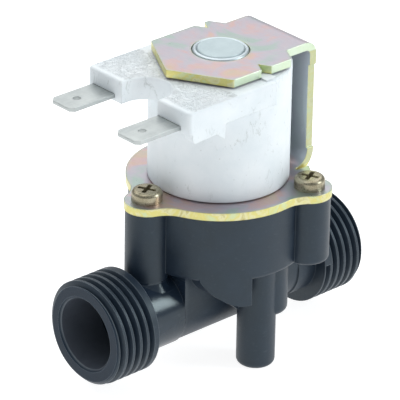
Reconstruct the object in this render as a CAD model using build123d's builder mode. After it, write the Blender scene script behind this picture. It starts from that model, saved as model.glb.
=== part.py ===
from build123d import *
from math import cos, radians, sin, sqrt
import os

# In-line solenoid valve, normally closed and pilot operated, with two G 1/2 male ports.
# Millimetres, +Z up. The origin lies midway between the lower ends of the two fixing pegs;
# +Z is the axis of the coil and of the armature, the ports lie along X and the inlet is at -X.

# ---- driving dimensions ------------------------------------------------------------------

# ports
port_height = 13.0  # port axis above the ends of the fixing pegs
inlet_reach = 34.0  # from the coil axis to the inlet's end face
outlet_reach = 30.5
thread_major_r = 10.4775  # G 1/2
thread_pitch = 1.814
thread_depth = 1.162
thread_crest = 0.5  # width of the flat left between two grooves
thread_root_half = 0.1
thread_overcut = 0.2  # how far the groove's cutter stands out of the port
inlet_thread_length = 10.0
outlet_thread_length = 10.9
port_end_chamfer = 0.9
port_bore_r = 7.15
port_bore_depth = 11.5
port_mouth_chamfer = 0.5
passage_r = 5.2
neck_r = 7.85
pipe_r = 7.6
neck_inner_x = 15.0  # where the necks step down to the pipe under the cup

# cup of the body
cup_r = 17.4
cup_height = 13.6
cup_underside_above_axis = 8.5
cup_edge_round = 0.9
cup_floor = 2.0
ledge_depth = 7.2  # rim seat of the diaphragm, below the body's top face
cup_wall = 2.2  # round the ledge that holds the diaphragm
ledge_width = 2.8
seat_depth = 7.6  # main seat, below the body's top face
seat_outer_r = 6.0
seat_bore_r = 4.5
riser_near_x = 6.6  # inlet riser, from the passage up to the chamber
riser_far_x = 11.6
riser_width = 8.4
web_reach = 15.0

# screws
screw_beyond_cup = 0.95  # from the cup's wall to the screw axes
boss_r = 4.2
boss_flare_r = 7.2  # where the boss over the inlet spreads into the neck
boss_flare_height = 4.4
boss_flare_rise = 3.0  # of the flare's wide end above the port axis
screw_count = 3
screw_shank_r = 1.6
screw_hole_clearance = 0.05
screw_length = 12.0
screw_hole_extra = 2.0
screw_head_r = 3.0
screw_head_height = 2.3
screw_head_round = 0.9
screw_recess_width = 0.85
screw_recess_span = 3.7
screw_recess_depth = 1.3
screw_recess_taper = 12
screw_recess_turn = 25
screw_plate_clearance = 0.3

# fixing pegs and their bracing
peg_spread = 11.7  # from the port axis to each peg
peg_r = 3.8
peg_round = 1.1
peg_hole_r = 1.4
peg_hole_depth = 9.0
foot_x = 3.0
foot_drop = 11.0  # below the cup's underside
foot_round = 1.4
gusset_face_y = 10.6
gusset_reach = 13.6
gusset_blunt = 0.4
gusset_root_drop = 9.3

# skirt that carries the cup's wall down on the inlet side of the pegs
skirt_outer_x = 13.9
skirt_mid_x = 11.2
skirt_mid_drop = 3.5
skirt_flat_x = 7.8  # where the lower edge levels out
skirt_drop = 5.3
skirt_inner_x = 5.75

# yoke
sheet = 1.6
plate_overhang = 0.5  # beyond the cup
lobe_r = 4.4
lobe_blend_r = 6.0
strip_inner_x = 15.5
strip_half_width = 8.5
strip_waist = 0.4  # how much narrower each side is between the bends
strip_waist_margin = 3.4
lower_bend_inner_r = 3.2
upper_bend_inner_r = 1.2
bend_relief = 0.6
top_plate_tip_x = 14.2
top_plate_tip_y = -0.3
top_plate_left_x = 7.6
top_plate_right_x = 7.2
top_plate_near_y = 12.0
top_plate_far_y = 11.4
top_hole_clearance = 0.12
top_corner_r = 0.6
notch_near_x = 0.75
notch_far_x = 4.9
notch_width = 2.6
notch_depth = 2.4

# coil
coil_r = 13.75
coil_gap = 0.2  # above the base plate
coil_top_gap = 0.4  # below the top plate
coil_height = 23.8
bobbin_wall = 0.9
bobbin_flange = 1.0
bobbin_flange_r = 12.2
bobbin_inset = 0.8  # plastic over each end of the bobbin
winding_r = 11.5
tape_thickness = 0.25
arm_reach = 21.3
arm_height = 4.6
arm_near_y = 14.8
arm_far_y = 13.9
arm_gap_r = 5.1
arm_gap_centre_x = 19.8
arm_gap_centre_y = -0.9
arm_slab_end_x = 1.0  # where the wider slab of the arms ends, beside the coil's axis
barb_height = 1.9
barb_start_x = 20.3
barb_notch_x = 14.35
barb_point_x = 12.2
barb_width = 2.2
barb_cusp = 0.3
barb_point_drop = 3.2
barb_round = 0.9
arm_corner_r = 0.9
arm_edge_r = 0.45
coil_lug_length = 2.6
coil_lug_width = 3.0
coil_lug_height = 0.3
coil_lug_inset = 0.15  # from the coil's wall

# terminals: 6.3 x 0.8 blades
blade_width = 6.3
blade_thickness = 0.8
blade_tip_x = 32.0
blade_tail_x = 14.6
blade_spread = 9.3
blade_drop = 3.2  # top face of the blade below the top of the arm
blade_tip_chamfer = 1.0
blade_tip_bevel = 0.18
blade_hole_r = 0.8
blade_hole_from_tip = 4.1
blade_slot_clearance = 0.05
lead_r = 0.25
lead_inset = 1.8  # from the blade's inner edge to the lead

# armature
tube_inner_r = 4.95
tube_wall = 0.55
tube_flange_r = 9.0
tube_flange = 0.6
tube_lip_height = 0.8
tube_lip_r = 4.66
tube_lip_dip = 0.15
tube_proud = 0.3  # above the top plate
plate_hole_clearance = 0.1
bush_wall = 1.0
bush_height = 8.0
plunger_clearance = 0.07
plunger_gap = 2.8  # between the plunger and the fixed core at rest
plunger_length = 18.2
plunger_nose_r = 3.6
plunger_nose_length = 3.4
plunger_edge_chamfer = 0.3
plunger_groove_depth = 0.6
plunger_groove_width = 2.0
plunger_bore_r = 2.8
plunger_bore_depth = 5.2
seal_r = 2.4
seal_proud = 0.4
seal_height = 2.0
core_disc_r = 4.6
core_proud = 0.1
core_disc_chamfer = 0.2
shading_inner_r = 3.3
shading_outer_r = 4.2
shading_depth = 1.2
spring_wire_r = 0.3
spring_mean_r = 2.2
spring_turns = 7

# diaphragm, its insert and the bonnet
rim_thickness = 1.8
rim_width = 2.4
rim_clearance = 0.1
pad_r = 8.2
pad_thickness = 1.6
membrane = 0.7
membrane_rise = 0.9
membrane_lift = 0.3
insert_stem_r = 2.9
insert_disc_r = 6.4
insert_disc = 1.2
insert_foot_r = 3.9
insert_foot = 1.6
pilot_lip_r = 1.4
pilot_lip_height = 0.8
pilot_hole_r = 0.5
bleed_hole_r = 0.35
bleed_hole_x = 7.3
bonnet_roof = 2.0
bonnet_hole_r = 5.3
o_ring_mean_r = 7.3
o_ring_section_r = 0.6
fit_gap = 0.05  # between pieces that are fixed together

# ---- sizes worked out from them ----------------------------------------------------------

ledge_bore_r = cup_r - cup_wall
chamber_r = ledge_bore_r - ledge_width
screw_circle_r = cup_r + screw_beyond_cup
plate_r = cup_r + plate_overhang
cup_underside = port_height + cup_underside_above_axis
body_top = cup_underside + cup_height
ledge_z = body_top - ledge_depth
seat_z = body_top - seat_depth
chamber_floor = cup_underside + cup_floor
plate_top = body_top + sheet
coil_bottom = plate_top + coil_gap
coil_top = coil_bottom + coil_height
top_plate_underside = coil_top + coil_top_gap
top_plate_top = top_plate_underside + sheet
strip_outer_x = strip_inner_x + sheet
lower_bend_r = lower_bend_inner_r + sheet
upper_bend_r = upper_bend_inner_r + sheet

tube_outer_r = tube_inner_r + tube_wall
tube_top = top_plate_top + tube_proud
tube_foot = body_top - tube_flange
plate_hole_r = tube_outer_r + plate_hole_clearance
top_hole_r = tube_outer_r + top_hole_clearance
bush_r = plate_hole_r + bush_wall
bobbin_bore_r = bush_r + fit_gap
barrel_r = bobbin_bore_r + bobbin_wall
bobbin_bottom = coil_bottom + bobbin_inset
bobbin_top = coil_top - bobbin_inset

arm_bottom = coil_top - arm_height
blade_top = coil_top - blade_drop
blade_mid_z = blade_top - blade_thickness / 2

pad_top = seat_z + pad_thickness
insert_top = pad_top + insert_disc
pilot_z = insert_top + pilot_lip_height
nose_z = pilot_z + seal_proud
plunger_top = nose_z + plunger_length
core_face = plunger_top + plunger_gap
spring_seat = plunger_top - plunger_bore_depth
plunger_r = tube_inner_r - plunger_clearance

screw_angles = [180 + 360 / screw_count * turn for turn in range(screw_count)]
screw_points = [(screw_circle_r * cos(radians(a)), screw_circle_r * sin(radians(a))) for a in screw_angles]


def across_x(x):
    """Plane square to the port axis at x, facing +X."""
    return Plane(origin=(x, 0, port_height), x_dir=(0, 1, 0), z_dir=(1, 0, 0))


def threaded_port(length):
    """Plain port blank along Z from its end at 0, with one helical V groove cut round it."""
    root_r = thread_major_r - thread_depth
    half_open = (thread_pitch - thread_crest) / 2
    flank = (half_open - thread_root_half) / thread_depth
    beyond = thread_depth + thread_overcut
    with BuildPart() as groove:
        with BuildLine():
            Helix(thread_pitch, length + thread_pitch / 2, root_r)
        with BuildSketch(Plane.XZ):
            with BuildLine():
                Polyline(
                    (root_r + beyond, -thread_root_half - flank * beyond),
                    (root_r, -thread_root_half),
                    (root_r, thread_root_half),
                    (root_r + beyond, thread_root_half + flank * beyond),
                    close=True,
                )
            make_face()
        sweep(is_frenet=True)
    with BuildPart() as port:
        with BuildSketch():
            Circle(thread_major_r)
        extrude(amount=length)
        chamfer(port.edges().group_by(Axis.Z)[0], port_end_chamfer)
        with Locations((0, 0, -thread_pitch)):
            add(groove.part, mode=Mode.SUBTRACT)
    return port.part


# ---- body --------------------------------------------------------------------------------

inlet_port = threaded_port(inlet_thread_length)
outlet_port = threaded_port(outlet_thread_length)


def round_ended_post(radius, length, edge_round):
    """Post along Z from 0 to its length, with a rounded lower end."""
    with BuildPart() as post:
        with BuildSketch():
            Circle(radius)
        extrude(amount=length)
        fillet(post.edges().group_by(Axis.Z)[0], edge_round)
    return post.part


peg = round_ended_post(peg_r, cup_underside + cup_edge_round, peg_round)
foot = round_ended_post(peg_r, foot_drop + cup_edge_round, foot_round)

with BuildPart() as skirt:
    with BuildSketch(Plane.XZ.offset(-cup_r)):
        with BuildLine():
            ThreePointArc(
                (-skirt_outer_x, cup_underside),
                (-skirt_mid_x, cup_underside - skirt_mid_drop),
                (-skirt_flat_x, cup_underside - skirt_drop),
            )
            Polyline(
                (-skirt_flat_x, cup_underside - skirt_drop),
                (-skirt_inner_x, cup_underside - skirt_drop),
                (-skirt_inner_x, cup_underside + cup_edge_round),
                (-skirt_outer_x, cup_underside + cup_edge_round),
                (-skirt_outer_x, cup_underside),
            )
        make_face()
    extrude(amount=2 * cup_r)
    with BuildSketch(Plane.XY, mode=Mode.PRIVATE) as cup_outline:
        Circle(cup_r)
    extrude(cup_outline.sketch, amount=body_top, mode=Mode.INTERSECT)

with BuildPart() as valve_body:
    # cup with its screw bosses
    with BuildSketch(Plane.XY.offset(cup_underside)):
        Circle(cup_r)
        with Locations(*screw_points):
            Circle(boss_r)
    extrude(amount=cup_height)
    fillet(valve_body.edges().group_by(Axis.Z)[0], cup_edge_round)

    # the boss over the inlet runs on down into the inlet neck
    with BuildSketch(Plane.XY.offset(port_height)):
        with Locations((-screw_circle_r, 0)):
            Circle(boss_r)
    extrude(amount=cup_underside_above_axis + cup_edge_round)

    with Locations((-screw_circle_r, 0, port_height + boss_flare_rise)):
        Cone(
            boss_flare_r,
            boss_r,
            boss_flare_height,
            align=(Align.CENTER, Align.CENTER, Align.MIN),
        )

    # straight-sided web between the pipe and the cup
    with BuildSketch(Plane.XY.offset(port_height)):
        Rectangle(2 * web_reach, 2 * pipe_r)
    extrude(amount=cup_underside_above_axis + cup_edge_round)

    # pipe, necks and threaded ports
    inlet_shoulder = -inlet_reach + inlet_thread_length
    outlet_shoulder = outlet_reach - outlet_thread_length
    for start, end, radius in (
        (inlet_shoulder, outlet_shoulder, pipe_r),
        (inlet_shoulder, -neck_inner_x, neck_r),
        (neck_inner_x, outlet_shoulder, neck_r),
    ):
        with BuildSketch(across_x(start)):
            Circle(radius)
        extrude(amount=end - start)
    for port, end_x, inward in ((inlet_port, -inlet_reach, 1), (outlet_port, outlet_reach, -1)):
        add(Plane(origin=(end_x, 0, port_height), x_dir=(0, 1, 0), z_dir=(inward, 0, 0)) * port)

    # gussets that brace the pegs against the pipe and the cup
    with BuildSketch(Plane.XZ.offset(-gusset_face_y)):
        with BuildLine():
            root_z = cup_underside - gusset_root_drop
            Polyline(
                (-gusset_reach, cup_underside + cup_edge_round),
                (-gusset_reach, cup_underside - gusset_blunt),
                (-peg_r, root_z),
                (peg_r, root_z),
                (gusset_reach, cup_underside - gusset_blunt),
                (gusset_reach, cup_underside + cup_edge_round),
                close=True,
            )
        make_face()
    extrude(amount=2 * gusset_face_y)

    # fixing pegs, the short foot beside each of them, and the skirt
    for side in (-1, 1):
        with Locations((0, side * peg_spread, 0)):
            add(peg)
        with Locations((foot_x, side * peg_spread, cup_underside - foot_drop)):
            add(foot)
    add(skirt.part)

    # bores of the ports
    with BuildSketch(across_x(-inlet_reach)):
        Circle(port_bore_r)
    extrude(amount=port_bore_depth, mode=Mode.SUBTRACT)
    with BuildSketch(across_x(outlet_reach)):
        Circle(port_bore_r)
    extrude(amount=-port_bore_depth, mode=Mode.SUBTRACT)
    mouths = valve_body.edges().filter_by(GeomType.CIRCLE).sort_by(Axis.X)
    bore_mouths = [edge for edge in mouths if abs(edge.radius - port_bore_r) < fit_gap]
    chamfer([bore_mouths[0], bore_mouths[-1]], port_mouth_chamfer)
    with BuildSketch(across_x(-inlet_reach)):
        Circle(passage_r)
    extrude(amount=inlet_reach - riser_near_x, mode=Mode.SUBTRACT)
    with BuildSketch(across_x(0)):
        Circle(passage_r)
    extrude(amount=outlet_reach, mode=Mode.SUBTRACT)

    # inside of the cup: ledge, ring chamber round the seat, riser and outlet shaft
    with BuildSketch(Plane.XY.offset(ledge_z)):
        Circle(ledge_bore_r)
    extrude(amount=ledge_depth, mode=Mode.SUBTRACT)
    with BuildSketch(Plane.XY.offset(chamber_floor)):
        Circle(chamber_r)
        Circle(seat_outer_r, mode=Mode.SUBTRACT)
    extrude(amount=ledge_z - chamber_floor, mode=Mode.SUBTRACT)
    with BuildSketch(Plane.XY.offset(seat_z)):
        Circle(seat_outer_r)
    extrude(amount=ledge_z - seat_z, mode=Mode.SUBTRACT)
    with BuildSketch(Plane.XY.offset(port_height)):
        with Locations((-(riser_near_x + riser_far_x) / 2, 0)):
            Rectangle(riser_far_x - riser_near_x, riser_width)
    extrude(amount=chamber_floor - port_height, mode=Mode.SUBTRACT)
    with BuildSketch(Plane.XY.offset(port_height)):
        Circle(seat_bore_r)
    extrude(amount=seat_z - port_height, mode=Mode.SUBTRACT)

    # screw holes and the holes in the peg ends
    with Locations(*[(x, y, body_top) for x, y in screw_points]):
        Hole(screw_shank_r + screw_hole_clearance, screw_length + screw_hole_extra - sheet)
    with BuildSketch():
        with GridLocations(0, 2 * peg_spread, 1, 2):
            Circle(peg_hole_r)
    extrude(amount=peg_hole_depth, mode=Mode.SUBTRACT)

# ---- yoke: one strip of sheet steel ------------------------------------------------------

bend_x = strip_outer_x - lower_bend_r

with BuildPart() as yoke:
    # round base plate with a lobe for each screw, open where the strip bends up
    with BuildSketch(Plane.XY.offset(body_top)) as base_outline:
        Circle(plate_r)
        with Locations(*screw_points):
            Circle(lobe_r)
        fillet(base_outline.vertices(), lobe_blend_r)
        with Locations((bend_x, 0)):
            Rectangle(
                plate_r,
                2 * (strip_half_width + bend_relief),
                align=(Align.MIN, Align.CENTER),
                mode=Mode.SUBTRACT,
            )
    extrude(amount=sheet)

    # upright strip with its two bends
    with BuildSketch(Plane.XZ.offset(-strip_half_width)) as strip_profile:
        with BuildLine():
            Polyline(
                (tube_flange_r, body_top),
                (strip_outer_x, body_top),
                (strip_outer_x, top_plate_top),
                (tube_flange_r, top_plate_top),
                (tube_flange_r, top_plate_underside),
                (strip_inner_x, top_plate_underside),
                (strip_inner_x, plate_top),
                (tube_flange_r, plate_top),
                close=True,
            )
        make_face()
        for corner, bend_r in (
            ((strip_outer_x, body_top), lower_bend_r),
            ((strip_inner_x, plate_top), lower_bend_inner_r),
            ((strip_outer_x, top_plate_top), upper_bend_r),
            ((strip_inner_x, top_plate_underside), upper_bend_inner_r),
        ):
            fillet(strip_profile.vertices().sort_by_distance((*corner, 0))[0], bend_r)
    extrude(amount=2 * strip_half_width)

    # six-sided top plate
    with BuildSketch(Plane.XY.offset(top_plate_underside)) as top_outline:
        with BuildLine():
            Polyline(
                (-top_plate_tip_x, top_plate_tip_y),
                (-top_plate_left_x, -top_plate_near_y),
                (top_plate_right_x, -top_plate_near_y),
                (top_plate_tip_x, 0),
                (top_plate_right_x, top_plate_far_y),
                (-top_plate_left_x, top_plate_far_y),
                close=True,
            )
        make_face()
        fillet(top_outline.vertices(), top_corner_r)
    extrude(amount=sheet)

    # waist of the strip, on both sides
    waist_low = plate_top + strip_waist_margin
    waist_high = top_plate_underside - strip_waist_margin
    with Locations(
        *[(strip_inner_x, side * strip_half_width, waist_low) for side in (-1, 1)],
    ):
        Box(
            2 * (sheet + bend_relief),
            2 * strip_waist,
            waist_high - waist_low,
            align=(Align.CENTER, Align.CENTER, Align.MIN),
            mode=Mode.SUBTRACT,
        )

    # stake notches in the two long sides of the top plate
    with BuildSketch(Plane.XY.offset(top_plate_underside)):
        for x, edge_y in ((notch_near_x, -top_plate_near_y), (notch_far_x, top_plate_far_y)):
            tip_y = edge_y * (1 - notch_depth / abs(edge_y))
            with BuildLine():
                Polyline(
                    (x - notch_width / 2, edge_y),
                    (x, tip_y),
                    (x + notch_width / 2, edge_y),
                    close=True,
                )
            make_face()
    extrude(amount=sheet, mode=Mode.SUBTRACT)

    # holes for the armature tube and for the screws
    with BuildSketch(Plane.XY.offset(body_top)):
        Circle(plate_hole_r)
        with Locations(*screw_points):
            Circle(screw_shank_r + screw_plate_clearance)
    extrude(amount=sheet, mode=Mode.SUBTRACT)
    with BuildSketch(Plane.XY.offset(top_plate_underside)):
        Circle(top_hole_r)
    extrude(amount=sheet, mode=Mode.SUBTRACT)

with BuildPart() as body_screws:
    with BuildSketch(Plane.XY.offset(plate_top)):
        with Locations(*screw_points):
            Circle(screw_head_r)
    extrude(amount=screw_head_height)
    fillet(body_screws.edges().group_by(Axis.Z)[-1], screw_head_round)
    with BuildSketch(Plane.XY.offset(plate_top)):
        with Locations(*screw_points):
            Circle(screw_shank_r)
    extrude(amount=-screw_length)
    chamfer(body_screws.edges().group_by(Axis.Z)[0], screw_shank_r / 2)
    with BuildSketch(Plane.XY.offset(plate_top + screw_head_height)):
        with Locations(*screw_points):
            Rectangle(screw_recess_span, screw_recess_width, rotation=screw_recess_turn)
            Rectangle(screw_recess_width, screw_recess_span, rotation=screw_recess_turn)
    extrude(amount=-screw_recess_depth, taper=screw_recess_taper, mode=Mode.SUBTRACT)

# ---- coil --------------------------------------------------------------------------------

lead_y = blade_spread - blade_width / 2 + lead_inset
lead_start_x = -blade_tail_x + fit_gap
lead_end_x = -sqrt(winding_r**2 - (lead_y - lead_r) ** 2) - fit_gap


def lead_run(side, radius, start_x, end_x):
    """Straight round run from a terminal's tail to the winding, on one side of the coil."""
    with BuildPart() as run:
        with BuildSketch(Plane(origin=(start_x, side * lead_y, blade_mid_z), z_dir=(1, 0, 0))):
            Circle(radius)
        extrude(amount=end_x - start_x)
    return run.part


lead_channels = [
    lead_run(side, lead_r + fit_gap, -blade_tail_x - fit_gap, lead_end_x + lead_r) for side in (-1, 1)
]

with BuildPart() as coil_bobbin:
    with BuildSketch(Plane.XY.offset(bobbin_bottom)):
        Circle(barrel_r)
    extrude(amount=bobbin_top - bobbin_bottom)
    for low in (bobbin_bottom, bobbin_top - bobbin_flange):
        with BuildSketch(Plane.XY.offset(low)):
            Circle(bobbin_flange_r)
        extrude(amount=bobbin_flange)
    with BuildSketch(Plane.XY.offset(bobbin_bottom)):
        Circle(bobbin_bore_r)
    extrude(amount=bobbin_top - bobbin_bottom, mode=Mode.SUBTRACT)

winding_bottom = bobbin_bottom + bobbin_flange + fit_gap
winding_height = bobbin_top - bobbin_flange - fit_gap - winding_bottom

with BuildPart() as coil_winding:
    with BuildSketch(Plane.XY.offset(winding_bottom)):
        Circle(winding_r)
        Circle(barrel_r + fit_gap, mode=Mode.SUBTRACT)
    extrude(amount=winding_height)

with BuildPart() as winding_tape:
    with BuildSketch(Plane.XY.offset(winding_bottom)):
        Circle(winding_r + fit_gap + tape_thickness)
        Circle(winding_r + fit_gap, mode=Mode.SUBTRACT)
    extrude(amount=winding_height)
    for channel in lead_channels:
        add(channel, mode=Mode.SUBTRACT)

with BuildPart() as coil_overmould:
    with BuildSketch(Plane.XY.offset(coil_bottom)):
        Circle(coil_r)
    extrude(amount=coil_height)

    # two terminal arms with the round gap between them
    with BuildSketch(Plane.XY.offset(arm_bottom)) as arm_outline:
        with Locations((-arm_reach, -arm_near_y)):
            Rectangle(
                arm_reach + arm_slab_end_x,
                arm_near_y + arm_far_y,
                align=(Align.MIN, Align.MIN),
            )
        fillet(arm_outline.vertices().group_by(Axis.X)[0], arm_corner_r)
        with Locations((-arm_gap_centre_x, arm_gap_centre_y)):
            Circle(arm_gap_r, mode=Mode.SUBTRACT)
            Rectangle(
                arm_reach - arm_gap_centre_x,
                2 * arm_gap_r,
                align=(Align.MAX, Align.CENTER),
                mode=Mode.SUBTRACT,
            )
    extrude(amount=arm_height)
    fillet(coil_overmould.edges().group_by(Axis.Z)[-1], arm_edge_r)

    # ribs under the outer sides of the arms, ending in a barb
    for outer_y, side in ((-arm_near_y, -1), (arm_far_y, 1)):
        with BuildSketch(Plane.XZ.offset(-outer_y)) as barb:
            with BuildLine():
                Polyline(
                    (-barb_start_x, arm_bottom + barb_height),
                    (-barb_start_x, arm_bottom - barb_height),
                    (-barb_notch_x, arm_bottom - barb_height + barb_cusp),
                    (-barb_point_x, arm_bottom - barb_point_drop),
                    (-barb_point_x + barb_cusp, arm_bottom + barb_height),
                    close=True,
                )
            make_face()
            foremost = barb.vertices().group_by(Axis.X)[0].sort_by(Axis.Y)
            fillet(foremost[0], barb_round)
        extrude(amount=side * barb_width)

    # lugs on the top, under the stake notches of the top plate
    for x, side in ((notch_near_x, -1), (notch_far_x, 1)):
        lug_far_x = x + coil_lug_length / 2
        lug_outer_y = sqrt((coil_r - coil_lug_inset) ** 2 - lug_far_x**2)
        with Locations((x, side * (lug_outer_y - coil_lug_width / 2), coil_top)):
            Box(coil_lug_length, coil_lug_width, 2 * coil_lug_height)

    # cavity for the wound bobbin, and the bore
    with BuildSketch(Plane.XY.offset(bobbin_bottom - fit_gap)):
        Circle(bobbin_flange_r + fit_gap)
    extrude(amount=bobbin_top - bobbin_bottom + 2 * fit_gap, mode=Mode.SUBTRACT)
    with BuildSketch(Plane.XY.offset(coil_bottom)):
        Circle(bobbin_bore_r)
    extrude(amount=coil_height, mode=Mode.SUBTRACT)

    # slots for the terminals and channels for the winding's ends
    with BuildSketch(Plane.XY.offset(blade_top - blade_thickness - blade_slot_clearance)):
        with Locations(*[(-blade_tail_x + fit_gap, side * blade_spread) for side in (-1, 1)]):
            Rectangle(
                arm_reach,
                blade_width + 2 * blade_slot_clearance,
                align=(Align.MAX, Align.CENTER),
            )
    extrude(amount=blade_thickness + 2 * blade_slot_clearance, mode=Mode.SUBTRACT)
    for channel in lead_channels:
        add(channel, mode=Mode.SUBTRACT)


def blade(side):
    """A terminal blade, seated with its tail against the end of its slot."""
    with BuildPart() as terminal:
        with BuildSketch(Plane.XY.offset(blade_top - blade_thickness)) as outline:
            with Locations((-blade_tail_x, side * blade_spread)):
                Rectangle(blade_tip_x - blade_tail_x, blade_width, align=(Align.MAX, Align.CENTER))
            chamfer(outline.vertices().group_by(Axis.X)[0], blade_tip_chamfer)
            with Locations((-blade_tip_x + blade_hole_from_tip, side * blade_spread)):
                Circle(blade_hole_r, mode=Mode.SUBTRACT)
        extrude(amount=blade_thickness)
        tip = terminal.faces().sort_by(Axis.X)[0]
        chamfer(tip.edges().filter_by(Axis.Y), blade_tip_bevel)
    return terminal.part


# ---- armature ----------------------------------------------------------------------------

with BuildPart() as flux_bush:
    with BuildSketch(Plane.XY.offset(plate_top)):
        Circle(bush_r)
        Circle(plate_hole_r, mode=Mode.SUBTRACT)
    extrude(amount=bush_height)

lip_z = tube_top - tube_lip_height

with BuildPart() as armature_tube:
    with BuildSketch(Plane.XZ):
        with BuildLine():
            Polyline(
                (tube_inner_r, lip_z),
                (tube_inner_r, tube_foot),
                (tube_flange_r, tube_foot),
                (tube_flange_r, body_top),
                (tube_outer_r, body_top),
                (tube_outer_r, tube_top - tube_wall),
            )
            RadiusArc((tube_outer_r, tube_top - tube_wall), (tube_inner_r, tube_top), -tube_wall)
            Polyline(
                (tube_inner_r, tube_top),
                (tube_lip_r, tube_top - tube_lip_dip),
                (tube_lip_r, lip_z),
                (tube_inner_r, lip_z),
            )
        make_face()
    revolve(axis=Axis.Z)

core_r = tube_inner_r - fit_gap

with BuildPart() as fixed_core:
    with BuildSketch(Plane.XY.offset(core_face)):
        Circle(core_r)
    extrude(amount=lip_z - fit_gap - core_face)
    with BuildSketch(Plane.XY.offset(lip_z - fit_gap)):
        Circle(core_disc_r)
    extrude(amount=tube_top + core_proud - lip_z + fit_gap)
    chamfer(fixed_core.edges().group_by(Axis.Z)[-1], core_disc_chamfer)
    with BuildSketch(Plane.XY.offset(core_face)):
        Circle(shading_outer_r)
        Circle(shading_inner_r, mode=Mode.SUBTRACT)
    extrude(amount=shading_depth, mode=Mode.SUBTRACT)

with BuildPart() as shading_ring:
    with BuildSketch(Plane.XY.offset(core_face)):
        Circle(shading_outer_r - fit_gap)
        Circle(shading_inner_r + fit_gap, mode=Mode.SUBTRACT)
    extrude(amount=shading_depth)

with BuildPart() as plunger:
    with BuildSketch(Plane.XY.offset(nose_z + plunger_nose_length)):
        Circle(plunger_r)
    extrude(amount=plunger_length - plunger_nose_length)
    chamfer(plunger.edges().filter_by(GeomType.CIRCLE), plunger_edge_chamfer)
    with BuildSketch(Plane.XY.offset(nose_z)):
        Circle(plunger_nose_r)
    extrude(amount=plunger_nose_length)
    # side grooves that let the water past
    with PolarLocations(plunger_r, 2):
        Box(
            2 * plunger_groove_depth,
            plunger_groove_width,
            2 * plunger_top,
            mode=Mode.SUBTRACT,
        )
    with BuildSketch(Plane.XY.offset(plunger_top)):
        Circle(plunger_bore_r)
    extrude(amount=-plunger_bore_depth, mode=Mode.SUBTRACT)
    with BuildSketch(Plane.XY.offset(nose_z)):
        Circle(seal_r + fit_gap)
    extrude(amount=seal_height - seal_proud, mode=Mode.SUBTRACT)

with BuildPart() as plunger_seal:
    with BuildSketch(Plane.XY.offset(pilot_z)):
        Circle(seal_r)
    extrude(amount=seal_height)

with BuildPart() as plunger_spring:
    spring_start = spring_seat + spring_wire_r + fit_gap
    spring_height = core_face - fit_gap - spring_wire_r - spring_start
    with BuildLine():
        Helix(
            spring_height / spring_turns,
            spring_height,
            spring_mean_r,
            center=(0, 0, spring_start),
        )
    with BuildSketch(Plane(origin=(spring_mean_r, 0, spring_start), z_dir=(0, 1, 0))):
        Circle(spring_wire_r)
    sweep(is_frenet=True)

# ---- diaphragm and bonnet ----------------------------------------------------------------

rim_outer_r = ledge_bore_r - rim_clearance
rim_inner_r = rim_outer_r - rim_width
rim_top = ledge_z + rim_thickness
fold_r = (pad_r + rim_inner_r) / 2
membrane_low = ledge_z + membrane_lift
membrane_high = membrane_low + membrane

with BuildPart() as diaphragm:
    with BuildSketch(Plane.XZ):
        with BuildLine():
            Polyline(
                (pad_r, membrane_low),
                (pad_r, seat_z),
                (insert_stem_r + fit_gap, seat_z),
                (insert_stem_r + fit_gap, pad_top),
                (pad_r, pad_top),
                (pad_r, membrane_high),
            )
            ThreePointArc(
                (pad_r, membrane_high),
                (fold_r, membrane_high + membrane_rise),
                (rim_inner_r, membrane_high),
            )
            Polyline(
                (rim_inner_r, membrane_high),
                (rim_inner_r, rim_top),
                (rim_outer_r, rim_top),
                (rim_outer_r, ledge_z),
                (rim_inner_r, ledge_z),
                (rim_inner_r, membrane_low),
            )
            ThreePointArc(
                (rim_inner_r, membrane_low),
                (fold_r, membrane_low + membrane_rise),
                (pad_r, membrane_low),
            )
        make_face()
    revolve(axis=Axis.Z)
    with Locations((bleed_hole_x, 0, pad_top)):
        Hole(bleed_hole_r)

with BuildPart() as diaphragm_insert:
    with BuildSketch(Plane.XZ):
        with BuildLine():
            Polyline(
                (pilot_hole_r, seat_z - insert_foot),
                (insert_foot_r, seat_z - insert_foot),
                (insert_foot_r, seat_z),
                (insert_stem_r, seat_z),
                (insert_stem_r, pad_top),
                (insert_disc_r, pad_top),
                (insert_disc_r, insert_top),
                (pilot_lip_r, insert_top),
                (pilot_lip_r, pilot_z),
                (pilot_hole_r, pilot_z),
                close=True,
            )
        make_face()
    revolve(axis=Axis.Z)

groove_half = o_ring_section_r + fit_gap
groove_floor = tube_foot - 2 * o_ring_section_r - fit_gap
bonnet_ceiling = tube_foot - bonnet_roof

with BuildPart() as tube_bonnet:
    with BuildSketch(Plane.XZ):
        with BuildLine():
            Polyline(
                (rim_inner_r, rim_top),
                (rim_outer_r, rim_top),
                (rim_outer_r, body_top),
                (tube_flange_r + fit_gap, body_top),
                (tube_flange_r + fit_gap, tube_foot),
                (o_ring_mean_r + groove_half, tube_foot),
                (o_ring_mean_r + groove_half, groove_floor),
                (o_ring_mean_r - groove_half, groove_floor),
                (o_ring_mean_r - groove_half, tube_foot),
                (bonnet_hole_r, tube_foot),
                (bonnet_hole_r, bonnet_ceiling),
                (rim_inner_r, bonnet_ceiling),
                close=True,
            )
        make_face()
    revolve(axis=Axis.Z)

with BuildPart() as bonnet_o_ring:
    with BuildSketch(Plane.XZ):
        with Locations((o_ring_mean_r, tube_foot - o_ring_section_r - fit_gap / 2)):
            Circle(o_ring_section_r)
    revolve(axis=Axis.Z)

# ---- files -------------------------------------------------------------------------------

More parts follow.
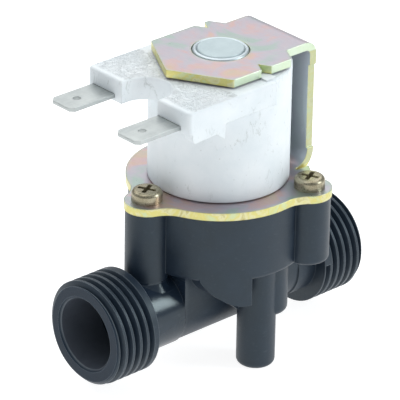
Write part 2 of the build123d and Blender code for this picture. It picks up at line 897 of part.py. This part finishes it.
pieces = {
    "valve_body": valve_body.part,
    "yoke": yoke.part,
    "body_screws": body_screws.part,
    "coil_overmould": coil_overmould.part,
    "coil_bobbin": coil_bobbin.part,
    "coil_winding": coil_winding.part,
    "winding_tape": winding_tape.part,
    "start_lead": lead_run(-1, lead_r, lead_start_x, lead_end_x),
    "finish_lead": lead_run(1, lead_r, lead_start_x, lead_end_x),
    "terminal_right": blade(-1),
    "terminal_left": blade(1),
    "flux_bush": flux_bush.part,
    "armature_tube": armature_tube.part,
    "fixed_core": fixed_core.part,
    "shading_ring": shading_ring.part,
    "plunger": plunger.part,
    "plunger_seal": plunger_seal.part,
    "plunger_spring": plunger_spring.part,
    "diaphragm": diaphragm.part,
    "diaphragm_insert": diaphragm_insert.part,
    "tube_bonnet": tube_bonnet.part,
    "bonnet_o_ring": bonnet_o_ring.part,
}

os.makedirs("parts", exist_ok=True)
for name, piece in pieces.items():
    piece.label = name
    export_step(piece, f"parts/{name}.step")
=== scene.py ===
import math

import bpy
from mathutils import Matrix, Vector


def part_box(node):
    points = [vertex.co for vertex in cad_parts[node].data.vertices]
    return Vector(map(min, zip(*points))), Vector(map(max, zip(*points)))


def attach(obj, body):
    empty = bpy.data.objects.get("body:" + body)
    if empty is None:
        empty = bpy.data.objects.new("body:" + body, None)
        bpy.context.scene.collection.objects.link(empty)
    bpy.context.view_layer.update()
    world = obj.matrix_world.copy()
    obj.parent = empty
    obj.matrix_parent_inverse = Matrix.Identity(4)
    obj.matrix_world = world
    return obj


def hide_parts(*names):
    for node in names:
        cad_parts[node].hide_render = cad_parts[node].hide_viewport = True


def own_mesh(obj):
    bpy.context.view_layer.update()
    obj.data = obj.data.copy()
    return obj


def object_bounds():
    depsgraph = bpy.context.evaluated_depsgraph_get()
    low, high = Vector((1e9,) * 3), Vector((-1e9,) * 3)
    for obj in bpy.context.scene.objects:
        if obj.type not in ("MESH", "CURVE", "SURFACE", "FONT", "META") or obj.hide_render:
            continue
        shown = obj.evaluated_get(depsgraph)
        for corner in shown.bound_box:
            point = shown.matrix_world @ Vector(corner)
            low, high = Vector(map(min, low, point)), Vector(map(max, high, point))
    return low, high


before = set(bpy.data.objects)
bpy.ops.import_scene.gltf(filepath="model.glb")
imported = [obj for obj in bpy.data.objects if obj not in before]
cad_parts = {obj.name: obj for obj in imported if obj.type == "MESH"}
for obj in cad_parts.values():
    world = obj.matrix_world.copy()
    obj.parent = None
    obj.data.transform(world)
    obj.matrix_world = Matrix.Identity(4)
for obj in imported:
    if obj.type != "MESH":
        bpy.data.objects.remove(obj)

MM = 0.001
cad_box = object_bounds()
low, high = (Vector(corner) for corner in cad_box)

# Where the valve body's finish changes: both ports lie along X at one height, the inlet's neck runs
# from its thread to NECK_END, and the bore mask reaches just past the wall of the bore.
PORT_HEIGHT = 13.0 * MM
INLET_THREAD_END = -24.0 * MM
OUTLET_THREAD_START = 20.0 * MM
NECK_END = -14.0 * MM
NECK_TOP = 20.8 * MM
BORE_RADIUS = 7.3 * MM


# ---- node helpers ---------------------------------------------------------------------------


class Surface:
    """A Principled material and the few node patterns that its recipe is built from."""

    def __init__(self, name, metallic=0.0, roughness=0.5, specular=0.5):
        self.material = bpy.data.materials.new(name)
        self.material.use_nodes = True
        self.tree = self.material.node_tree
        self.bsdf = self.tree.nodes["Principled BSDF"]
        self.bsdf.inputs["Metallic"].default_value = metallic
        self.bsdf.inputs["Roughness"].default_value = roughness
        self.bsdf.inputs["Specular IOR Level"].default_value = specular
        self.place = self.node("ShaderNodeNewGeometry").outputs["Position"]
        self.normal = self.node("ShaderNodeNewGeometry").outputs["Normal"]
        self.last_bump = None
        self.edge = None
        self.base = None

    def node(self, kind, **settings):
        made = self.tree.nodes.new(kind)
        for key, value in settings.items():
            setattr(made, key, value)
        return made

    def link(self, source, socket):
        if isinstance(source, (int, float, tuple)):
            socket.default_value = source
        else:
            self.tree.links.new(source, socket)

    def math(self, operation, a, b=0.0, clamp=False):
        made = self.node("ShaderNodeMath", operation=operation, use_clamp=clamp)
        self.link(a, made.inputs[0])
        self.link(b, made.inputs[1])
        return made.outputs[0]

    def stretched(self, factors):
        """The surface's place in metres, scaled along each axis."""
        made = self.node("ShaderNodeVectorMath", operation="MULTIPLY")
        self.link(self.place, made.inputs[0])
        made.inputs[1].default_value = factors
        return made.outputs[0]

    def noise(self, size_mm, detail=4.0, rough=0.55, stretch=(1, 1, 1), distortion=0.0):
        made = self.node("ShaderNodeTexNoise")
        self.link(self.stretched(stretch), made.inputs["Vector"])
        made.inputs["Scale"].default_value = 1 / (size_mm * MM)
        made.inputs["Detail"].default_value = detail
        made.inputs["Roughness"].default_value = rough
        made.inputs["Distortion"].default_value = distortion
        return made.outputs["Fac"]

    def cells(self, size_mm):
        made = self.node("ShaderNodeTexVoronoi", feature="F1")
        self.link(self.place, made.inputs["Vector"])
        made.inputs["Scale"].default_value = 1 / (size_mm * MM)
        return made.outputs["Distance"]

    def ramp(self, fac, *stops):
        """Colour ramp from (position, colour) stops; a plain number is a grey."""
        made = self.node("ShaderNodeValToRGB")
        self.link(fac, made.inputs[0])
        ramp = made.color_ramp
        while len(ramp.elements) < len(stops):
            ramp.elements.new(0.5)
        for element, (position, colour) in zip(ramp.elements, stops):
            element.position = position
            grey = isinstance(colour, (int, float))
            element.color = (colour, colour, colour, 1) if grey else (*colour, 1)
        return made.outputs[0]

    def mix(self, fac, a, b):
        made = self.node("ShaderNodeMix", data_type="RGBA")
        self.link(fac, made.inputs["Factor"])
        for value, socket in ((a, made.inputs[6]), (b, made.inputs[7])):
            self.link((*value, 1) if isinstance(value, tuple) else value, socket)
        return made.outputs[2]

    def bump(self, height, depth_mm, strength=1.0):
        made = self.node("ShaderNodeBump")
        made.inputs["Strength"].default_value = strength
        made.inputs["Distance"].default_value = depth_mm * MM
        self.link(height, made.inputs["Height"])
        if self.last_bump is not None:
            self.link(self.last_bump, made.inputs["Normal"])
        self.last_bump = made.outputs[0]
        self.link(self.last_bump, self.bsdf.inputs["Normal"])

    def bevelled(self, radius_mm):
        """The surface's normal, softened within a radius of each sharp edge."""
        made = self.node("ShaderNodeBevel", samples=6)
        made.inputs["Radius"].default_value = radius_mm * MM
        return made.outputs[0]

    def rounded_edges(self, radius_mm):
        """Softens every sharp edge and returns a mask that is 1 along it."""
        self.last_bump = self.bevelled(radius_mm)
        self.link(self.last_bump, self.bsdf.inputs["Normal"])
        self.edge = self.turned(self.last_bump)
        return self.edge

    def turned(self, direction):
        """1 where a softened normal has turned away from the surface's own."""
        facing = self.node("ShaderNodeVectorMath", operation="DOT_PRODUCT")
        self.link(direction, facing.inputs[0])
        self.link(self.normal, facing.inputs[1])
        away = self.math("SUBTRACT", 1.0, facing.outputs["Value"])
        return self.math("MULTIPLY", away, 6.0, clamp=True)

    def edge_band(self, width_mm):
        """A mask that is 1 at each sharp edge and fades out over a width, with no softening."""
        return self.turned(self.bevelled(width_mm))

    def part_of(self, vector, axis):
        made = self.node("ShaderNodeSeparateXYZ")
        self.link(vector, made.inputs[0])
        return made.outputs[axis]

    def along(self, axis):
        """The surface's place along an axis, in metres."""
        return self.part_of(self.place, axis)

    def facing(self, axis):
        """How far the surface faces along an axis, 0 to 1, either way."""
        return self.math("ABSOLUTE", self.part_of(self.normal, axis))

    def toward(self, axis, sign):
        """How far the surface faces one way along an axis, -1 to 1."""
        return self.math("MULTIPLY", self.part_of(self.normal, axis), sign)

    def between(self, value, low, high, soft):
        """1 where a value lies between two limits, falling to 0 over the soft width."""
        rise = self.math("DIVIDE", self.math("SUBTRACT", value, low), soft, clamp=True)
        fall = self.math("DIVIDE", self.math("SUBTRACT", high, value), soft, clamp=True)
        return self.math("MULTIPLY", rise, fall)

    def colour(self, source):
        self.link(source, self.bsdf.inputs["Base Color"])

    def roughness(self, source):
        self.link(source, self.bsdf.inputs["Roughness"])


# ---- materials ------------------------------------------------------------------------------


def nylon(name, dark, light, wear_and_highlight, polished=None):
    """Glass-filled nylon: fine spark-eroded grain, faint flow streaks, paler edges that are part wear and
    part painted highlight.

    polished gives the lowest and highest X of a smooth stretch, and the height it goes up to.
    """
    s = Surface(name, roughness=0.45, specular=0.5)
    edge = s.rounded_edges(0.22)
    cloud = s.noise(5.0, detail=5, distortion=0.6)
    fibre = s.noise(0.5, detail=3, stretch=(0.25, 1, 1))
    base = s.mix(s.ramp(cloud, (0.3, 0.0), (0.75, 1.0)), dark, light)
    s.base = s.mix(s.ramp(fibre, (0.60, 0.0), (0.85, 0.12)), base, wear_and_highlight)
    grain = s.noise(0.16, detail=4, rough=0.7)
    sheen = s.ramp(s.mix(0.4, cloud, grain), (0.3, 0.34), (0.7, 0.50))
    if polished:
        low_x, high_x, top_z = polished
        within = s.between(s.along("X"), low_x, high_x, 1.0 * MM)
        smooth = s.math("MULTIPLY", within, s.math("LESS_THAN", s.along("Z"), top_z))
        sheen = s.mix(s.math("MULTIPLY", smooth, 0.9), sheen, (0.20, 0.20, 0.20))
        grain = s.math("MULTIPLY", grain, s.math("SUBTRACT", 1.0, s.math("MULTIPLY", smooth, 0.8)))
    # Paler edges: part rubbed wear, part painted highlight.
    s.colour(s.mix(s.math("MULTIPLY", edge, 0.35), s.base, wear_and_highlight))
    s.roughness(sheen)
    s.bump(grain, 0.05, 0.5)
    s.bump(s.noise(2.5, detail=2), 0.06, 0.4)
    return s


def body_nylon():
    """The body's nylon: smooth inlet neck, painted highlight on the thread crests, painted light in the
    bores, matt end face.
    """
    wear_and_highlight = (0.17, 0.205, 0.24)
    neck = (INLET_THREAD_END, NECK_END, NECK_TOP)
    s = nylon("body_nylon", (0.008, 0.016, 0.030), (0.014, 0.025, 0.044), wear_and_highlight, polished=neck)
    x, y, z = (s.along(axis) for axis in "XYZ")
    inlet_thread = s.math("LESS_THAN", x, INLET_THREAD_END)
    outlet_thread = s.math("GREATER_THAN", x, OUTLET_THREAD_START)
    threads = s.math("MAXIMUM", inlet_thread, outlet_thread)
    # Painted highlight: the thread crests take the paler edge colour nearly in full, standing in for the
    # light lines along them.
    edge_wear_and_crest_highlight = s.mix(threads, (0.2, 0.2, 0.2), (0.95, 0.95, 0.95))
    above_axis = s.math("SUBTRACT", z, PORT_HEIGHT)
    squares = s.math("ADD", s.math("MULTIPLY", y, y), s.math("MULTIPLY", above_axis, above_axis))
    radius = s.math("SQRT", squares)
    # Painted light: the inside of each bore is coloured paler, standing in for light that reaches into it.
    in_bore = s.math("MULTIPLY", threads, s.math("LESS_THAN", radius, BORE_RADIUS))
    bloom_and_bore_light = s.mix(s.noise(2.0, detail=4), (0.060, 0.070, 0.090), (0.086, 0.100, 0.124))
    s.base = s.mix(in_bore, s.base, bloom_and_bore_light)
    s.colour(s.mix(s.math("MULTIPLY", s.edge, edge_wear_and_crest_highlight), s.base, wear_and_highlight))
    end_face = s.math("LESS_THAN", x, low.x + 0.2 * MM)
    shine = s.bsdf.inputs["Specular IOR Level"]
    s.link(s.math("SUBTRACT", shine.default_value, s.math("MULTIPLY", end_face, 0.3)), shine)
    s.bsdf.inputs["Specular Tint"].default_value = (0.88, 1.0, 1.0, 1)
    return s.material


def white_moulding():
    """White encapsulation: matt, faintly blue, rubbed grey in places, mottled on the arm tops."""
    s = Surface("coil_white", roughness=0.5, specular=0.4)
    edge = s.rounded_edges(0.35)
    cloud = s.noise(7.0, detail=5)
    base = s.mix(s.ramp(cloud, (0.3, 0.0), (0.7, 1.0)), (0.74, 0.80, 0.83), (0.84, 0.88, 0.90))
    scuff_shape = s.noise(1.6, detail=6, rough=0.75, stretch=(1, 1, 0.45), distortion=1.2)
    patches = s.ramp(s.noise(9.0, detail=2), (0.44, 0.0), (0.58, 1.0))
    scuffs = s.math("MULTIPLY", s.ramp(scuff_shape, (0.57, 0.0), (0.66, 1.0)), patches)
    base = s.mix(s.math("MULTIPLY", scuffs, 0.45), base, (0.36, 0.40, 0.38))
    specks = s.ramp(s.cells(2.1), (0.03, 1.0), (0.07, 0.0))
    base = s.mix(s.math("MULTIPLY", specks, 0.35), base, (0.30, 0.31, 0.28))
    s.colour(s.mix(s.math("MULTIPLY", edge, 0.3), base, (0.90, 0.93, 0.95)))
    s.roughness(s.ramp(cloud, (0.3, 0.42), (0.7, 0.58)))
    s.bump(s.noise(0.3, detail=3), 0.03, 0.4)
    s.bump(s.noise(3.5, detail=2), 0.12, 0.35)
    top = s.math("GREATER_THAN", s.facing("Z"), 0.9)
    coil_low, coil_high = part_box("coil_overmould")
    margin = 0.8 * MM
    arm_length = 13.0 * MM
    on_arms = s.between(s.along("X"), coil_low[0] + margin, coil_low[0] + arm_length, margin)
    arm_tops = s.math("GREATER_THAN", s.along("Z"), coil_high[2] - 2.0 * MM)
    marked = s.math("MULTIPLY", s.math("MULTIPLY", top, on_arms), arm_tops)
    lumps = s.ramp(s.noise(1.1, detail=3, rough=0.6, distortion=2.0), (0.42, 0.0), (0.58, 1.0))
    s.bump(s.math("MULTIPLY", lumps, marked), 0.14, 1.0)
    return s.material


def chromated_zinc(name):
    """Yellow-passivated zinc: a grey-lavender film that drifts to pink, green and straw."""
    s = Surface(name, metallic=0.85, roughness=0.34)
    sheet_low, sheet_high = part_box("yoke")
    edge = s.rounded_edges(0.25)
    drift = s.noise(10.0, detail=4, rough=0.55, distortion=0.9)
    film = s.ramp(
        drift,
        (0.36, (0.38, 0.47, 0.43)),
        (0.44, (0.46, 0.44, 0.49)),
        (0.51, (0.49, 0.43, 0.48)),
        (0.57, (0.57, 0.40, 0.40)),
        (0.63, (0.57, 0.43, 0.33)),
        (0.72, (0.44, 0.46, 0.44)),
    )
    margin = s.math("MULTIPLY", s.edge_band(1.3), 0.55)
    film = s.mix(margin, film, (0.41, 0.51, 0.39))
    streaks = s.noise(1.2, detail=5, rough=0.7, stretch=(1, 0.3, 1))
    film = s.mix(s.ramp(streaks, (0.35, 0.0), (0.75, 0.30)), film, (0.54, 0.55, 0.53))
    straw = s.ramp(
        s.noise(3.0, detail=4, distortion=0.8),
        (0.36, (0.56, 0.62, 0.36)),
        (0.50, (0.64, 0.58, 0.20)),
        (0.60, (0.66, 0.64, 0.38)),
        (0.72, (0.46, 0.40, 0.14)),
    )
    mint = s.mix(s.noise(3.0, detail=4), (0.55, 0.66, 0.42), (0.66, 0.76, 0.66))
    not_inlet_side = s.ramp(s.toward("X", -1), (0.2, 1.0), (0.5, 0.0))
    on_top = s.math("GREATER_THAN", s.along("Z"), sheet_high[2] - 2.0 * MM)
    straw = s.mix(s.math("MULTIPLY", not_inlet_side, on_top), straw, mint)
    bend = 1.8 * MM
    strip = s.between(s.along("Z"), sheet_low[2] + bend, sheet_high[2] - bend, 0.2 * MM)
    straw = s.mix(s.math("MULTIPLY", strip, 0.6), straw, (0.40, 0.45, 0.32))
    side = s.ramp(s.facing("Y"), (0.4, 0.0), (0.7, 1.0))
    rim = s.ramp(s.facing("Z"), (0.4, 1.0), (0.7, 0.0))
    film = s.mix(s.mix(strip, rim, side), film, straw)
    # Painted light: the strip's inner face, which faces the coil, is coloured paler than the film, standing
    # in for light that does not reach it.
    inward = s.math("MULTIPLY", s.ramp(s.toward("X", -1), (0.5, 0.0), (0.8, 1.0)), strip)
    inner_face_painted_light = s.mix(s.noise(6.0, detail=3), (0.60, 0.58, 0.66), (0.66, 0.76, 0.74))
    film = s.mix(inward, film, inner_face_painted_light)
    s.colour(s.mix(s.math("MULTIPLY", edge, 0.7), film, straw))
    scratch = s.noise(0.35, detail=4, rough=0.6, stretch=(1, 0.08, 1))
    s.roughness(s.ramp(s.mix(0.5, drift, scratch), (0.3, 0.26), (0.7, 0.44)))
    s.bump(scratch, 0.02, 0.35)
    s.bump(s.noise(4.0, detail=2), 0.05, 0.35)
    return s.material


def metal(name, dark, light, roughness, grain_mm=0.3, stretch=(1, 1, 1)):
    """Bare or plated metal with tool or roll marks along the stretched direction."""
    s = Surface(name, metallic=0.92, roughness=roughness)
    edge = s.rounded_edges(0.12)
    cloud = s.noise(3.0, detail=4)
    marks = s.noise(grain_mm, detail=4, rough=0.65, stretch=stretch)
    base = s.mix(s.ramp(s.mix(0.5, cloud, marks), (0.35, 0.0), (0.65, 1.0)), dark, light)
    brighter = tuple(min(1.0, c * 1.15) for c in light)
    s.colour(s.mix(s.math("MULTIPLY", edge, 0.6), base, brighter))
    s.roughness(s.ramp(marks, (0.3, roughness - 0.07), (0.7, roughness + 0.09)))
    s.bump(marks, 0.015, 0.5)
    return s.material


def rubber(name):
    s = Surface(name, roughness=0.62, specular=0.3)
    s.rounded_edges(0.15)
    bloom_and_bore_light = s.noise(2.2, detail=5)
    s.colour(s.mix(bloom_and_bore_light, (0.018, 0.018, 0.020), (0.05, 0.05, 0.055)))
    s.roughness(s.ramp(bloom_and_bore_light, (0.3, 0.52), (0.7, 0.74)))
    s.bump(s.noise(0.18, detail=3), 0.03, 0.4)
    return s.material


def wound_copper():
    """Enamelled wire: one fine ridge for each turn."""
    s = Surface("winding_copper", metallic=0.9, roughness=0.32)
    turns = s.node("ShaderNodeTexWave", wave_type="BANDS", bands_direction="Z")
    s.link(s.place, turns.inputs["Vector"])
    turns.inputs["Scale"].default_value = 1 / (0.9 * MM)
    turns.inputs["Distortion"].default_value = 0.15
    tone = s.noise(2.0, detail=3)
    s.colour(s.mix(tone, (0.45, 0.17, 0.07), (0.72, 0.32, 0.15)))
    s.roughness(s.ramp(tone, (0.3, 0.24), (0.7, 0.38)))
    s.bump(turns.outputs["Fac"], 0.06, 0.7)
    return s.material


def film_tape():
    s = Surface("tape", roughness=0.28, specular=0.5)
    tone = s.noise(2.6, detail=4)
    s.colour(s.mix(tone, (0.62, 0.45, 0.10), (0.78, 0.60, 0.20)))
    s.roughness(s.ramp(tone, (0.3, 0.2), (0.7, 0.36)))
    s.bump(s.noise(0.9, detail=2, stretch=(1, 1, 0.2)), 0.05, 0.4)
    return s.material


steel = metal("turned_steel", (0.42, 0.44, 0.47), (0.60, 0.62, 0.65), 0.34, stretch=(1, 1, 6))
seal = rubber("seal_rubber")
copper = wound_copper()
pale_nylon = nylon("insert_nylon", (0.66, 0.68, 0.69), (0.76, 0.77, 0.77), (0.84, 0.85, 0.85)).material
dark_nylon = nylon("bonnet_nylon", (0.030, 0.036, 0.046), (0.042, 0.050, 0.062), (0.11, 0.13, 0.15)).material
tin = metal("blade_tin", (0.42, 0.45, 0.45), (0.56, 0.59, 0.58), 0.46, grain_mm=0.5, stretch=(0.12, 1, 1))
finish = {
    "valve_body": body_nylon(),
    "yoke": chromated_zinc("yoke_zinc"),
    "body_screws": metal("screw_zinc", (0.24, 0.21, 0.14), (0.48, 0.44, 0.32), 0.30),
    "coil_overmould": white_moulding(),
    "terminal_left": tin,
    "terminal_right": tin,
    "armature_tube": metal("tube_steel", (0.50, 0.57, 0.60), (0.64, 0.71, 0.74), 0.42),
    "fixed_core": metal("core_steel", (0.43, 0.51, 0.53), (0.52, 0.60, 0.62), 0.48, grain_mm=0.6),
    "coil_bobbin": pale_nylon,
    "coil_winding": copper,
    "start_lead": copper,
    "finish_lead": copper,
    "winding_tape": film_tape(),
    "flux_bush": steel,
    "shading_ring": metal("ring_copper", (0.55, 0.25, 0.13), (0.72, 0.38, 0.22), 0.30),
    "plunger": steel,
    "plunger_seal": seal,
    "plunger_spring": metal("spring_steel", (0.50, 0.51, 0.53), (0.68, 0.69, 0.71), 0.26),
    "diaphragm": rubber("diaphragm_rubber"),
    "diaphragm_insert": pale_nylon,
    "tube_bonnet": dark_nylon,
    "bonnet_o_ring": seal,
}
for node, material in finish.items():
    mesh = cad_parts[node].data
    mesh.materials.clear()
    mesh.materials.append(material)


# ---- return spring --------------------------------------------------------------------------

# The CAD spring is rigid, so this copy of it, on a mesh of its own, stands in for it.
spring = bpy.data.objects.new("return_spring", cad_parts["plunger_spring"].data.copy())
bpy.context.scene.collection.objects.link(spring)
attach(spring, "valve")
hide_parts("plunger_spring")
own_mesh(spring)


# ---- floor and light ------------------------------------------------------------------------

middle = (low + high) / 2

FLOOR_SIZE = 6.0
FLOOR_GLOW = 0.88
bpy.ops.mesh.primitive_plane_add(size=FLOOR_SIZE, location=(0, 0, low[2]))
floor = bpy.context.object
floor.name = "floor"
paper = Surface("floor_paper", roughness=0.85, specular=0.1)
paper.colour(paper.mix(paper.noise(60.0, detail=3), (0.40, 0.405, 0.41), (0.43, 0.435, 0.44)))
paper.bsdf.inputs["Emission Color"].default_value = (1, 1, 1, 1)
paper.bsdf.inputs["Emission Strength"].default_value = FLOOR_GLOW
paper.bump(paper.noise(0.6, detail=4), 0.03, 0.15)
floor.data.materials.append(paper.material)

world = bpy.context.scene.world or bpy.data.worlds.new("studio")
bpy.context.scene.world = world
world.use_nodes = True
background = world.node_tree.nodes["Background"]
background.inputs["Color"].default_value = (0.93, 0.97, 1.0, 1)
background.inputs["Strength"].default_value = 0.38


def softbox(name, direction, distance, size, watts, colour=(1, 1, 1)):
    """A rectangular light in a direction from the middle of the object, turned to face it."""
    light = bpy.data.lights.new(name, "AREA")
    light.shape = "RECTANGLE"
    light.size, light.size_y = size
    light.energy = watts
    light.color = colour
    holder = bpy.data.objects.new(name, light)
    bpy.context.scene.collection.objects.link(holder)
    away = Vector(direction).normalized()
    holder.location = middle + away * distance
    holder.rotation_euler = away.to_track_quat("Z", "Y").to_euler()


softbox("window", (0.59, -0.70, 0.43), 0.7, size=(0.16, 0.32), watts=1.7, colour=(0.90, 0.97, 1.0))
softbox("fill", (-0.93, -0.15, 0.28), 0.8, size=(0.5, 0.4), watts=0.06, colour=(0.95, 0.98, 1.0))
softbox("top", (0.1, 0.3, 1.0), 0.8, size=(1.4, 1.4), watts=8.5)
softbox("back", (0.60, 0.66, 0.50), 1.0, size=(0.8, 0.6), watts=0.45)


# ---- camera ---------------------------------------------------------------------------------

# The photograph's camera: the angles that it looks from, and the point in the middle of the frame,
# as a height on the valve's own axis and a step to one side.
AZIMUTH, ELEVATION, ROLL = (math.radians(degrees) for degrees in (-42.54, 26.54, 1.02))
AIM_HEIGHT = 30.67 * MM
AIM_ASIDE = -3.42 * MM
CAMERA_DISTANCE = 705.26 * MM
LENS_MM = 327.4
SENSOR_MM = 36.0

toward = Vector(
    (math.sin(AZIMUTH) * math.cos(ELEVATION), -math.cos(AZIMUTH) * math.cos(ELEVATION), math.sin(ELEVATION))
)
level_right = Vector((math.cos(AZIMUTH), math.sin(AZIMUTH), 0))
level_up = toward.cross(level_right)
right = level_right * math.cos(ROLL) + level_up * math.sin(ROLL)
up = level_up * math.cos(ROLL) - level_right * math.sin(ROLL)
place = right * AIM_ASIDE + Vector((0, 0, AIM_HEIGHT)) + toward * CAMERA_DISTANCE

camera_data = bpy.data.cameras.new("camera")
camera_data.sensor_width = SENSOR_MM
camera_data.lens = LENS_MM
camera_data.clip_start = 0.01
camera = bpy.data.objects.new("camera", camera_data)
bpy.context.scene.collection.objects.link(camera)
camera.matrix_world = Matrix(
    (
        (right.x, up.x, toward.x, place.x),
        (right.y, up.y, toward.y, place.y),
        (right.z, up.z, toward.z, place.z),
        (0, 0, 0, 1),
    )
)
bpy.context.scene.camera = camera
bpy.context.scene.view_settings.view_transform = "Standard"
